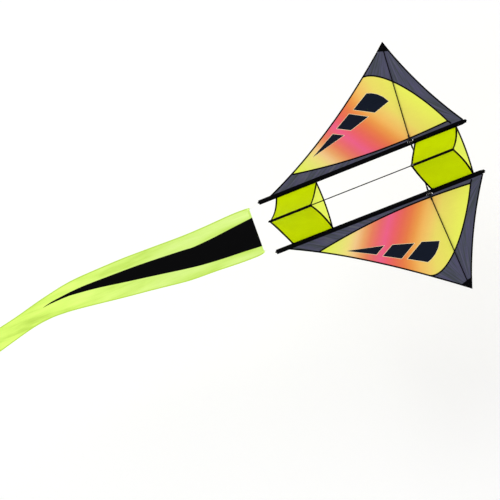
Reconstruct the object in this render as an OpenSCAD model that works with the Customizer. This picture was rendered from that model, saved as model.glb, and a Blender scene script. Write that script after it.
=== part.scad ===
// Winged box kite with a triangular-cell body and a streamer tail, lying on its back with the keel up.
// Lengths in millimetres. +X to the nose, +Y to the left wing, +Z up out of the keel.
// X is first measured from the cross spar, then shifted so that the whole length is centred.

/* [Frame] */
// Spacing of the two side longerons, axis to axis
longeron_gap = 250; // [200:5:320]
// Height of the keel rod above the longerons
keel_rise = 205; // [150:5:240]
// Diameter of every rod
rod_d = 5; // [4:0.5:6]
// Front end of the side longerons, from the spar
longeron_front = 283; // [250:1:320]
// Rear end of the side longerons, behind the spar
longeron_rear = 796; // [700:1:840]

/* [Cells] */
// Rear edge of the front cell, from the spar
front_cell_start = 13; // [13:1:40]
// Length of each cell
cell_length = 217; // [180:1:250]
// Front edge of the rear cell, behind the spar
rear_cell_front = 494; // [440:1:560]
// Width of the tape that binds the free edges
binding_w = 6; // [4:1:8]

/* [Wings] */
// Half span, tip to centreline
half_span = 616; // [560:2:660]
// How far the tip lies in front of the spar fittings
tip_forward = 37; // [0:1:60]
// How far the line of the spar has gone forward at the tip
spar_forward = 31; // [0:1:50]
// Front corner of the wing on its sleeve
wing_front = 273; // [240:1:280]
// Rear corner of the wing on its sleeve, behind the spar
wing_rear = 731; // [680:1:780]
// Depth of the hollow of the leading edge
leading_hollow = 18; // [5:1:30]
// Pull on the trailing edge curve towards the spar, nearer the tip
trailing_pull_tip = 40; // [5:1:60]
// The same, nearer the rear corner
trailing_pull_rear = 38; // [15:1:80]
// Thickness of one layer of sail cloth
cloth = 0.6; // [0.4:0.1:1]
// Width of the sleeve that holds a longeron
sleeve_w = 22; // [18:1:26]
// Height of that sleeve over the rod
sleeve_h = 10.5; // [9:0.5:13]

/* [Tail] */
// Far end of the tail, behind the spar
tail_end = 2500; // [2000:50:3000]
// Front edge of the tail, behind the spar
tail_start = 853; // [840:1:900]
// Diameter of the leader lines
leader_d = 1.2; // [0.8:0.1:2]

/* [Tow point] */
// Radius of the hole of the tow eyelet
eyelet_r = 3; // [2:0.5:4]

/* [Hidden] */
$fn = 48;
rod_r = rod_d / 2;
lon_y = longeron_gap / 2;
lon_z = 5.3;
keel_z = lon_z + keel_rise;
cap_t = 4;
nose_x = longeron_front + cap_t;
spar_x = (tail_end - nose_x) / 2;
sh = sleeve_w / 2;
panel_y = lon_y - sh;
wing_y = lon_y + sh + 0.8;
hem_w = 7;
hem_t = 0.9;
seam_w = 5;
slot_half = 15;
ring_r = 4.3;
sweep = atan(spar_forward / (half_span - lon_y));
front_cell_end = front_cell_start + cell_length;
rear_cell_start = -rear_cell_front - cell_length;
keel_front = front_cell_end - 1;
keel_back = rear_cell_start - 7;
eyelet_x = 26;
keel_top = keel_z + 4.2;
tab_r = 8.8;
eyelet_z = keel_top + tab_r;
gap = 1.2;
black = [0.04, 0.04, 0.05];
lime = [0.72, 0.84, 0.05];
pale = [0.90, 0.97, 0.40];
grey = [0.34, 0.33, 0.42];
sun = [0.93, 0.80, 0.30];

// what to draw

// ---- curves -------------------------------------------------------------------

// cubic curve through its two end points, at t
function bez(p, t) = pow(1 - t, 3) * p[0] + 3 * pow(1 - t, 2) * t * p[1]
    + 3 * (1 - t) * t * t * p[2] + pow(t, 3) * p[3];
function bez_dir(p, t) = 3 * pow(1 - t, 2) * (p[1] - p[0]) + 6 * (1 - t) * t * (p[2] - p[1])
    + 3 * t * t * (p[3] - p[2]);
function unit(v) = v / norm(v);
function left_of(v) = [-v[1], v[0]];

// the same curve as points, moved sideways by off
function bez_line(p, n, off) = [for (i = [0:n])
    bez(p, i / n) + off * left_of(unit(bez_dir(p, i / n)))];

// smooth line through hand-set points, m steps between each two
function knot(p, i) = p[max(0, min(len(p) - 1, i))];
function smooth(p, m) = [for (i = [0:len(p) - 2]) for (j = [0:(i == len(p) - 2 ? m : m - 1)])
    let (t = j / m, a = knot(p, i - 1), b = knot(p, i), c = knot(p, i + 1), d = knot(p, i + 2))
    0.5 * (2 * b + (c - a) * t + (2 * a - 5 * b + 4 * c - d) * t * t
        + (3 * b - a - 3 * c + d) * t * t * t)];

// arc between two points that bows to the left of the way from a to b by sag,
// then moved to the left by off
function bow_r(a, b, sag) = (pow(norm(b - a) / 2, 2) + sag * sag) / (2 * sag);
function bow(a, b, sag, off, n) =
    let (r = bow_r(a, b, sag), dir = unit(b - a), side = left_of(dir),
        centre = (a + b) / 2 + side * (sag - r), half = asin(norm(b - a) / 2 / r))
    [for (i = [0:n]) let (q = -half + 2 * half * i / n)
        centre + (r + off) * (dir * sin(q) + side * cos(q))];

// ---- wing outline -------------------------------------------------------------

tip = [tip_forward, half_span];
corner_front = [wing_front, wing_y];
corner_rear = [-wing_rear, wing_y];

// both edges run so that the inside of the wing is on their left
function leading(off) = bow(corner_front, tip, leading_hollow, off, 20);
function along_trailing(t, pull) = tip + t * (corner_rear - tip)
    + pull * left_of(unit(corner_rear - tip));
trailing_edge = [tip, along_trailing(1 / 3, trailing_pull_tip),
    along_trailing(2 / 3, trailing_pull_rear), corner_rear];
function trailing(off) = bez_line(trailing_edge, 28, off);

outer_seam = [[-139, 485], [-55, 540], [110, 349], [201, 155]];
inner_seam = [[201, 155], [-60, 138], [-300, 140], [-607, 195]];
corner_seam = [[201, 155], [206, 149], [210, 143], [214, 136]];

module wing_outline() {
    polygon(concat(leading(0), trailing(0)));
}

// inside of the edge binding
module wing_inside() {
    intersection() {
        polygon(concat([[900, -500], [900, wing_y]], leading(hem_w), [[-900, 616], [-900, -500]]));
        polygon(concat([[900, 616]], trailing(hem_w), [[-900, wing_y], [-900, -500], [900, -500]]));
        translate([-900, wing_y])
            square([1800, 700]);
    }
}

// ground of the printed panel, larger than the wing at the trailing edge
module print_ground() {
    polygon(concat(bez_line(outer_seam, 16, 0), bez_line(inner_seam, 20, 0),
        [[-700, 330], [-300, 620]]));
}

module inner_ground() {
    polygon(concat(bez_line(inner_seam, 20, 0), [[-800, 260], [-800, 100], [240, 100]],
        [corner_seam[3]]));
}

module seam_strip(p, n) {
    polygon(concat(bez_line(p, n, seam_w / 2),
        [for (i = [n:-1:0]) bez_line(p, n, -seam_w / 2)[i]]));
}

module print_panel() {
    color(sun)
        linear_extrude(cloth)
            intersection() {
                wing_inside();
                print_ground();
            }
}

module border_inner() {
    color(grey)
        linear_extrude(cloth)
            intersection() {
                wing_inside();
                inner_ground();
            }
}

module border_outer() {
    color(grey)
        linear_extrude(cloth)
            difference() {
                wing_inside();
                print_ground();
                inner_ground();
                pocket_area();
            }
}

// tape that covers the three seams, on top of the cloth
module seam_tape() {
    color(black)
        translate([0, 0, cloth])
            linear_extrude(0.3)
                intersection() {
                    wing_inside();
                    union() {
                        seam_strip(outer_seam, 16);
                        seam_strip(inner_seam, 20);
                        seam_strip(corner_seam, 4);
                    }
                }
}

// tape folded round the leading and the trailing edge
module wing_binding() {
    color(black)
        linear_extrude(hem_t)
            difference() {
                wing_outline();
                wing_inside();
                pocket_area();
            }
}

// corner that the tip reinforcement covers
module pocket_area() {
    polygon([[-40, 620], [-40, 589.5], [60, 559.5], [60, 620]]);
}

module pocket_shape() {
    intersection() {
        wing_outline();
        pocket_area();
    }
}

// the spar runs from its fitting to the tip pocket
spar_from = 14;
spar_len = norm([spar_forward, half_span - lon_y]);
pocket_from = spar_len - 52;
spar_end = spar_len - 24;

module along_spar() {
    translate([0, lon_y, lon_z])
        rotate([0, 0, -sweep])
            rotate([-90, 0, 0])
                children();
}

module tip_pocket() {
    color(black)
        difference() {
            union() {
                linear_extrude(1.2)
                    pocket_shape();
                linear_extrude(lon_z)
                    intersection() {
                        pocket_shape();
                        translate([0, lon_y])
                            rotate([0, 0, -sweep])
                                translate([-3.4, pocket_from])
                                    square([6.8, 36]);
                    }
                along_spar()
                    translate([0, 0, pocket_from + 4])
                        cylinder(r = 3.4, h = 28);
            }
            along_spar()
                translate([0, 0, pocket_from - 20])
                    cylinder(r = rod_r, h = spar_end - pocket_from + 20);
        }
}

module wing_spar() {
    color(black)
        along_spar()
            translate([0, 0, spar_from])
                cylinder(r = rod_r, h = spar_end - spar_from);
}

// forked tee that turns on the longeron and takes the inner end of the wing spar
module wing_fitting() {
    color([0.10, 0.10, 0.11])
        difference() {
            union() {
                for (x = [-12.5, 6.5])
                    translate([x, lon_y, lon_z]) {
                        rotate([0, 90, 0])
                            cylinder(r = ring_r, h = 6);
                        translate([0, 0, -2])
                            cube([6, 7, 4]);
                    }
                translate([-12.5, lon_y + 5, lon_z - 2])
                    cube([25, 8, 4]);
                along_spar()
                    translate([0, 0, 12.6])
                        cylinder(r = ring_r, h = 24);
            }
            translate([-20, lon_y, lon_z])
                rotate([0, 90, 0])
                    cylinder(r = rod_r + 0.05, h = 40);
            along_spar()
                translate([0, 0, spar_from])
                    cylinder(r = rod_r, h = 30);
        }
}

// ---- frame --------------------------------------------------------------------

module longeron() {
    color(black)
        translate([-longeron_rear + 2, lon_y, lon_z])
            rotate([0, 90, 0])
                cylinder(r = rod_r, h = longeron_rear + longeron_front - 4);
}

module end_cap() {
    difference() {
        rotate([0, 90, 0])
            cylinder(r = 3.8, h = 14);
        translate([-1, 0, 0])
            rotate([0, 90, 0])
                cylinder(r = rod_r, h = 13);
    }
}

// vinyl caps on the four rod ends
module longeron_end_caps() {
    color([0.09, 0.09, 0.10])
        for (side = [-1, 1]) {
            translate([longeron_front - 14 + cap_t, side * lon_y, lon_z])
                end_cap();
            translate([-longeron_rear + 14 - cap_t, side * lon_y, lon_z])
                mirror([1, 0, 0])
                    end_cap();
        }
}

function sleeve_top(w, h) = [for (i = [0:16]) let (q = -90 + 180 * i / 16)
    [w * q / 90, cloth + (h - cloth) * pow(cos(q), 2)]];

// flat strip folded over the rod and sewn at both sides; open over the spar fitting
module sleeve() {
    color(black)
        difference() {
            translate([-longeron_rear, lon_y, 0])
                rotate([90, 0, 90])
                    linear_extrude(longeron_rear + longeron_front)
                        difference() {
                            polygon(concat([[-sh, 0]], sleeve_top(sh, sleeve_h), [[sh, 0]]));
                            polygon(sleeve_top(sh - 1, sleeve_h - 0.5));
                        }
            translate([-slot_half, lon_y - 20, cloth])
                cube([2 * slot_half, 40, 20]);
        }
}

module centre_spreader() {
    color(black)
        translate([0, 12 - lon_y, lon_z])
            rotate([-90, 0, 0])
                cylinder(r = rod_r, h = longeron_gap - 24);
}

// ring on the longeron with a socket that faces the centre
module inner_fitting() {
    color([0.10, 0.10, 0.11])
        difference() {
            union() {
                translate([-6, lon_y, lon_z])
                    rotate([0, 90, 0])
                        cylinder(r = ring_r, h = 12);
                translate([0, lon_y - 28, lon_z])
                    rotate([-90, 0, 0])
                        cylinder(r = ring_r, h = 28);
            }
            translate([-20, lon_y, lon_z])
                rotate([0, 90, 0])
                    cylinder(r = rod_r, h = 40);
            translate([0, lon_y - 40, lon_z])
                rotate([-90, 0, 0])
                    cylinder(r = rod_r, h = 28);
        }
}

module back_panel(x0) {
    color(pale)
        translate([x0 + binding_w, -panel_y, 0])
            cube([cell_length - 2 * binding_w, 2 * panel_y, cloth]);
}

module back_binding(x0) {
    color(black)
        for (x = [x0, x0 + cell_length - binding_w])
            translate([x, -panel_y, 0])
                cube([binding_w, 2 * panel_y, cloth]);
}

// ---- keel and side panels -----------------------------------------------------

foot_w = 0.7;
keel_low = keel_z - 5;

// slanting strip of a side panel from its foot beside the sleeve to the keel sleeve
module side_strip(x0, length, extra) {
    translate([x0, 0, 0])
        rotate([90, 0, 90])
            linear_extrude(length)
                polygon([[panel_y - foot_w - extra, cloth], [panel_y, cloth],
                    [4.7, keel_low], [4 - extra, keel_low]]);
}

module side_panel(x0) {
    color(lime)
        side_strip(x0 + binding_w, cell_length - 2 * binding_w, 0);
}

module side_binding(x0) {
    color(black) {
        side_strip(x0, binding_w, 0.3);
        side_strip(x0 + cell_length - binding_w, binding_w, 0.3);
    }
}

module keel_rod() {
    color(black)
        translate([keel_back, 0, keel_z])
            rotate([0, 90, 0])
                cylinder(r = rod_r, h = keel_front - keel_back);
}

module keel_end_caps() {
    color([0.09, 0.09, 0.10]) {
        translate([keel_front - 11 + 3, 0, keel_z])
            keel_cap();
        translate([keel_back + 11 - 3, 0, keel_z])
            mirror([1, 0, 0])
                keel_cap();
    }
}

module keel_cap() {
    difference() {
        rotate([0, 90, 0])
            cylinder(r = 3.6, h = 11);
        translate([-1, 0, 0])
            rotate([0, 90, 0])
                cylinder(r = rod_r, h = 9);
    }
}

module keel_sleeve(x0) {
    color(black)
        translate([x0, 0, keel_z])
            difference() {
                rotate([90, 0, 90])
                    linear_extrude(cell_length)
                        polygon([[-5, -5], [5, -5], [5, -1], [3, 3.2], [1.2, 4.2], [-1.2, 4.2],
                            [-3, 3.2], [-5, -1]]);
                translate([-1, 0, 0])
                    rotate([0, 90, 0])
                        cylinder(r = rod_r, h = cell_length + 2);
                if (x0 > 0)
                    translate([cell_length - 9, 0, 0])
                        rotate([0, 90, 0])
                            cylinder(r = 3.6, h = 10);
                if (x0 < 0)
                    translate([-1, 0, 0])
                        rotate([0, 90, 0])
                            cylinder(r = 3.6, h = 2);
            }
}

// doubled webbing that stands on the keel sleeve and holds the eyelet
module tow_tab() {
    color(black)
        difference() {
            translate([eyelet_x, 0.8, 0])
                rotate([90, 0, 0])
                    linear_extrude(1.6)
                        union() {
                            translate([-tab_r, keel_top])
                                square([2 * tab_r, tab_r]);
                            translate([0, eyelet_z])
                                circle(r = tab_r);
                        }
            translate([eyelet_x, -5, eyelet_z])
                rotate([-90, 0, 0])
                    cylinder(r = eyelet_r + 1, h = 10);
        }
}

module tow_eyelet() {
    color([0.72, 0.72, 0.74])
        translate([eyelet_x, 0, eyelet_z])
            rotate([-90, 0, 0])
                rotate_extrude()
                    polygon([[eyelet_r, -1.4], [eyelet_r + 2.6, -1.4], [eyelet_r + 2.6, -0.8],
                        [eyelet_r + 1, -0.8], [eyelet_r + 1, 0.8], [eyelet_r + 2.6, 0.8],
                        [eyelet_r + 2.6, 1.4], [eyelet_r, 1.4]]);
}

// ---- tail ---------------------------------------------------------------------

cuts = [tail_start, 1190, 1520, 1850, 2180, tail_end];

// left and right edge of the streamer, from front to end
tail_left = smooth([[-853, 120], [-930, 122], [-1100, 115], [-1230, 112], [-1400, 116],
    [-1550, 118], [-1720, 114], [-1850, 105], [-1995, 80], [-2140, 47], [-2250, 25],
    [-2400, -4], [-2500, -24]], 4);
tail_right = smooth([[-853, -106], [-880, -112], [-960, -113], [-1100, -107], [-1230, -103],
    [-1300, -97], [-1450, -79], [-1600, -62], [-1800, -37], [-1900, -28], [-1990, -27],
    [-2090, -39], [-2240, -74], [-2400, -112], [-2500, -134]], 4);

// edges of the black wedge, down to its point
wedge_left = smooth([[-853, 71], [-1000, 56], [-1165, 43], [-1230, 46], [-1390, 55], [-1560, 61],
    [-1735, 63], [-1830, 60], [-1920, 52], [-1965, 46], [-2008, 36]], 4);
wedge_right = smooth([[-853, -73], [-960, -67], [-1100, -59], [-1210, -48], [-1370, -24],
    [-1540, 2], [-1700, 27], [-1830, 41], [-1880, 43], [-1960, 40], [-2008, 36]], 4);

function back_to_front(p) = [for (i = [len(p) - 1:-1:0]) p[i]];

module between_cuts(i) {
    translate([-cuts[i] + (i == 5 ? 0 : gap / 2), -300])
        square([cuts[i] - cuts[i - 1] - (i == 1 || i == 5 ? gap / 2 : gap), 600]);
}

module tail_cloth(i) {
    color(pale)
        linear_extrude(cloth)
            intersection() {
                polygon(concat(tail_left, back_to_front(tail_right)));
                between_cuts(i);
            }
}

module tail_wedge(i) {
    color(black)
        translate([0, 0, cloth])
            linear_extrude(0.3)
                intersection() {
                    polygon(concat(wedge_left, back_to_front(wedge_right)));
                    between_cuts(i);
                }
}

tab_y = [114, -100];

// webbing loops sewn on the two front corners
module tail_tabs() {
    color(pale)
        for (y = tab_y)
            difference() {
                translate([-tail_start - 9, y - 4, cloth])
                    cube([13, 8, 2.4]);
                translate([-tail_start + 1, y, cloth - 1])
                    cylinder(r = 1.4, h = 5);
                translate([-tail_start + 1, y - 1.4, cloth - 1])
                    cube([5, 2.8, 5]);
            }
}

// round line swept along its centre points
function ring_at(p, dir, r) = let (d = unit(dir), a = unit(cross(d, [0, 0, 1])), b = cross(a, d))
    [for (k = [0:7]) p + r * (a * cos(45 * k) + b * sin(45 * k))];

module line_tube(p, r) {
    n = len(p);
    points = [for (i = [0:n - 1]) each ring_at(p[i], p[min(n - 1, i + 1)] - p[max(0, i - 1)], r)];
    polyhedron(points, concat(
        [[for (k = [0:7]) k]],
        [for (i = [0:n - 2]) for (k = [0:7])
            [8 * i + k, 8 * i + 8 + k, 8 * i + 8 + (k + 1) % 8, 8 * i + (k + 1) % 8]],
        [[for (k = [7:-1:0]) 8 * (n - 1) + k]]));
}

module leader(side) {
    y1 = side > 0 ? tab_y[0] : tab_y[1];
    x0 = -longeron_rear - cap_t - 0.6;
    x1 = -tail_start + 4.4;
    color([0.92, 0.92, 0.90])
        line_tube(smooth([[x0, side * lon_y, lon_z], [x0 - 15, side * (lon_y - 2), 4.4],
            [x1 + 20, y1 + 2 * side, 2.6], [x1, y1, cloth + 1.2]], 4), leader_d / 2);
}

// ---- placing ------------------------------------------------------------------

module at_spar() {
    translate([spar_x, 0, 0])
        children();
}

module on_right() {
    mirror([0, 1, 0])
        children();
}

at_spar() longeron();  // longeron_left
at_spar() on_right() longeron();  // longeron_right
at_spar() longeron_end_caps();
at_spar() sleeve();  // sleeve_left
at_spar() on_right() sleeve();  // sleeve_right
at_spar() centre_spreader();
at_spar() inner_fitting();  // inner_fitting_left
at_spar() on_right() inner_fitting();  // inner_fitting_right
at_spar() back_panel(front_cell_start);  // back_panel_front
at_spar() back_panel(rear_cell_start);  // back_panel_rear
at_spar() back_binding(front_cell_start);  // back_binding_front
at_spar() back_binding(rear_cell_start);  // back_binding_rear
at_spar() print_panel();  // print_panel_left
at_spar() border_outer();  // border_outer_left
at_spar() border_inner();  // border_inner_left
at_spar() seam_tape();  // seam_tape_left
at_spar() wing_binding();  // wing_binding_left
at_spar() tip_pocket();  // tip_pocket_left
at_spar() wing_spar();  // wing_spar_left
at_spar() wing_fitting();  // wing_fitting_left
at_spar() on_right() print_panel();  // print_panel_right
at_spar() on_right() border_outer();  // border_outer_right
at_spar() on_right() border_inner();  // border_inner_right
at_spar() on_right() seam_tape();  // seam_tape_right
at_spar() on_right() wing_binding();  // wing_binding_right
at_spar() on_right() tip_pocket();  // tip_pocket_right
at_spar() on_right() wing_spar();  // wing_spar_right
at_spar() on_right() wing_fitting();  // wing_fitting_right
at_spar() keel_rod();
at_spar() keel_end_caps();
at_spar() keel_sleeve(front_cell_start);  // keel_sleeve_front
at_spar() keel_sleeve(rear_cell_start);  // keel_sleeve_rear
at_spar() tow_tab();
at_spar() tow_eyelet();
at_spar() side_panel(front_cell_start);  // side_panel_front_left
at_spar() on_right() side_panel(front_cell_start);  // side_panel_front_right
at_spar() side_panel(rear_cell_start);  // side_panel_rear_left
at_spar() on_right() side_panel(rear_cell_start);  // side_panel_rear_right
at_spar() side_binding(front_cell_start);  // side_binding_front_left
at_spar() on_right() side_binding(front_cell_start);  // side_binding_front_right
at_spar() side_binding(rear_cell_start);  // side_binding_rear_left
at_spar() on_right() side_binding(rear_cell_start);  // side_binding_rear_right
at_spar() leader(1);  // leader_left
at_spar() leader(-1);  // leader_right
at_spar() tail_tabs();
at_spar() tail_cloth(1);  // tail_cloth_1
at_spar() tail_cloth(2);  // tail_cloth_2
at_spar() tail_cloth(3);  // tail_cloth_3
at_spar() tail_cloth(4);  // tail_cloth_4
at_spar() tail_cloth(5);  // tail_cloth_5
at_spar() tail_wedge(1);  // tail_wedge_1
at_spar() tail_wedge(2);  // tail_wedge_2
at_spar() tail_wedge(3);  // tail_wedge_3
at_spar() tail_wedge(4);  // tail_wedge_4
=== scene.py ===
import math

import bpy
import numpy as np
from mathutils import Matrix, Vector
from mathutils.geometry import delaunay_2d_cdt


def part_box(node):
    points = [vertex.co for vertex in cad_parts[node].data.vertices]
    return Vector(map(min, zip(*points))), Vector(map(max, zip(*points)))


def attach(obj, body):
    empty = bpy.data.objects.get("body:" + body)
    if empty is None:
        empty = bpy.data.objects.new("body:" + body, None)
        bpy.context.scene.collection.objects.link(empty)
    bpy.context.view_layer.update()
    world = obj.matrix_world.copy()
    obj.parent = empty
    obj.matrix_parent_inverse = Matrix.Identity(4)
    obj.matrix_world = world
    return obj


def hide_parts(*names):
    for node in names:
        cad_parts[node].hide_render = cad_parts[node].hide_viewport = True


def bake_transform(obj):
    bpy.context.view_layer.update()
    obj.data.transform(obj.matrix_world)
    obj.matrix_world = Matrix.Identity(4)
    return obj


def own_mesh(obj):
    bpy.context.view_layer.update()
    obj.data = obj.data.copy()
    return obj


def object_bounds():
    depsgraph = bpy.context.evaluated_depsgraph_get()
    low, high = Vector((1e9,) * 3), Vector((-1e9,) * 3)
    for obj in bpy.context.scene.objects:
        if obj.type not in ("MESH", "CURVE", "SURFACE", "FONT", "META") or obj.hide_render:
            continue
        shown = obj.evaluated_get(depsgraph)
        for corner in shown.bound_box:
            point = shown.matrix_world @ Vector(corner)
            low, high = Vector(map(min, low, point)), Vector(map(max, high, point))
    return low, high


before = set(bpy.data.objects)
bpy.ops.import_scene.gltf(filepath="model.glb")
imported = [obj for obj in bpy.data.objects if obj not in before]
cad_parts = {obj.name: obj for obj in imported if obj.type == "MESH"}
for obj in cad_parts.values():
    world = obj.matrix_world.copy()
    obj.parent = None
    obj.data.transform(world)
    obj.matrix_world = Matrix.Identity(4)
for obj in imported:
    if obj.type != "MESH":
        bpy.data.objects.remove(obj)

CAD_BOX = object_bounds()
MM = 0.001

# ---- places taken from the frame ----------------------------------------------


def middle(node):
    low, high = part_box(node)
    return (low + high) / 2


SPAR_X = middle("centre_spreader").x
ROD_Y = middle("longeron_left").y
ROD_Z = middle("longeron_left").z
ROD_R = (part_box("longeron_left")[1].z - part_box("longeron_left")[0].z) / 2
KEEL_Z = middle("keel_rod").z
KEEL_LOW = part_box("keel_sleeve_front")[0].z
SLEEVE_LOW, SLEEVE_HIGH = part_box("sleeve_left")
SLEEVE_H = SLEEVE_HIGH.z
SLEEVE_OUT = SLEEVE_HIGH.y
SLEEVE_IN = SLEEVE_LOW.y
SLEEVE_GAP = 0.8 * MM
HALF_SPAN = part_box("tip_pocket_left")[1].y
TAIL_END_X = CAD_BOX[0].x - SPAR_X
TAIL_START_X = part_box("tail_cloth_1")[1].x - SPAR_X
TIP = (0.037, HALF_SPAN)
CORNER_FRONT = (0.273, SLEEVE_OUT + SLEEVE_GAP)
CORNER_REAR = (-0.731, SLEEVE_OUT + SLEEVE_GAP)


def put(x, y, z):
    """A point given from the crossing of the spar and the centreline."""
    return Vector((SPAR_X + x, y, z))


def show(name, data):
    """An object of the scene made from its data."""
    made = bpy.data.objects.new(name, data)
    bpy.context.scene.collection.objects.link(made)
    return made


# ---- camera -------------------------------------------------------------------

VIEW_TURN = math.radians(-17.92)
VIEW_RISE = math.radians(71.92)
VIEW_ROLL = math.radians(-92.61)
VIEW_DISTANCE = 14.0
VIEW_LENS = 212.0
SENSOR_WIDTH = 36
FARTHEST = 100
VIEW_AIM = put(-0.9174, -0.0694, 0)


def make_camera():
    back = Vector((math.cos(VIEW_RISE) * math.cos(VIEW_TURN),
                   math.cos(VIEW_RISE) * math.sin(VIEW_TURN), math.sin(VIEW_RISE)))
    right = (-back).cross(Vector((0, 0, 1))).normalized()
    up = right.cross(-back)
    side = right * math.cos(VIEW_ROLL) + up * math.sin(VIEW_ROLL)
    top = up * math.cos(VIEW_ROLL) - right * math.sin(VIEW_ROLL)
    data = bpy.data.cameras.new("camera")
    data.lens = VIEW_LENS
    data.sensor_width = SENSOR_WIDTH
    data.clip_end = FARTHEST
    camera = show("camera", data)
    camera.matrix_world = Matrix.Translation(VIEW_AIM + back * VIEW_DISTANCE) @ Matrix(
        (side, top, back)).transposed().to_4x4()
    bpy.context.scene.camera = camera


make_camera()

# ---- curves -------------------------------------------------------------------


def unit(v):
    v = np.asarray(v, float)
    return v / np.linalg.norm(v)


def left_of(v):
    return np.array([-v[1], v[0]])


def run_of(line):
    """The length along a line at each of its points."""
    return np.concatenate([[0], np.cumsum(np.linalg.norm(np.diff(line, axis=0), axis=1))])


def length_of(line):
    return float(np.linalg.norm(np.diff(line, axis=0), axis=1).sum())


def smooth_line(points, steps):
    """A smooth line through given points, with so many steps between each two."""
    p = [np.asarray(q, float) for q in points]
    out = []
    for i in range(len(p) - 1):
        a, b, c, d = p[max(0, i - 1)], p[i], p[i + 1], p[min(len(p) - 1, i + 2)]
        for j in range(steps + (i == len(p) - 2)):
            t = j / steps
            out.append(0.5 * (2 * b + (c - a) * t + (2 * a - 5 * b + 4 * c - d) * t * t
                              + (3 * b - a - 3 * c + d) * t ** 3))
    return np.array(out)


def bezier(p, count, off=0.0):
    """Points along a cubic curve, moved to its left by off."""
    p = np.asarray(p, float)
    out = []
    for t in np.linspace(0, 1, count + 1):
        at = ((1 - t) ** 3 * p[0] + 3 * (1 - t) ** 2 * t * p[1]
              + 3 * (1 - t) * t * t * p[2] + t ** 3 * p[3])
        way = ((1 - t) ** 2 * (p[1] - p[0]) + 2 * (1 - t) * t * (p[2] - p[1])
               + t * t * (p[3] - p[2]))
        out.append(at + off * left_of(unit(way)))
    return np.array(out)


def bow(a, b, sag, count, off=0.0):
    """An arc from a to b that bows to the left of its way by sag, moved left by off."""
    a, b = np.asarray(a, float), np.asarray(b, float)
    chord = np.linalg.norm(b - a)
    radius = (chord * chord / 4 + sag * sag) / (2 * sag)
    way = unit(b - a)
    side = left_of(way)
    centre = (a + b) / 2 + side * (sag - radius)
    half = math.asin(chord / 2 / radius)
    turn = np.linspace(-half, half, count + 1)[:, None]
    return centre + (radius + off) * (way * np.sin(turn) + side * np.cos(turn))


def ease(t):
    t = np.clip(t, 0, 1)
    return t * t * (3 - 2 * t)


# ---- leader lines of the tail --------------------------------------------------

LEADER_R = 0.6 * MM
LEADER_FROM_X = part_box("longeron_end_caps")[0].x - SPAR_X - 0.6 * MM
LEADER_TO_X = TAIL_START_X + 4.4 * MM
TAB_Y = {"left": 0.114, "right": -0.100}
SIDES = {"left": 1, "right": -1}


def leader_route(side):
    """From the end of the longeron, loosely down to the tab on the tail's corner."""
    s, y = SIDES[side], TAB_Y[side]
    return smooth_line([
        (LEADER_FROM_X, s * ROD_Y, ROD_Z),
        (LEADER_FROM_X - 0.015, s * (ROD_Y - 0.002), 0.0044),
        (LEADER_TO_X + 0.020, y + s * 0.002, 0.0026),
        (LEADER_TO_X, y, 0.0018)], 5)


def line_object(name, points, radius, material):
    """A round line that follows points given from the spar crossing."""
    curve = bpy.data.curves.new(name, "CURVE")
    curve.dimensions = "3D"
    curve.bevel_depth = radius
    curve.bevel_resolution = 3
    curve.use_fill_caps = True
    spline = curve.splines.new("POLY")
    spline.points.add(len(points) - 1)
    for point, p in zip(spline.points, points):
        point.co = (*put(*p), 1)
    curve.materials.append(material)
    return show(name, curve)


# ---- materials ----------------------------------------------------------------


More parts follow.
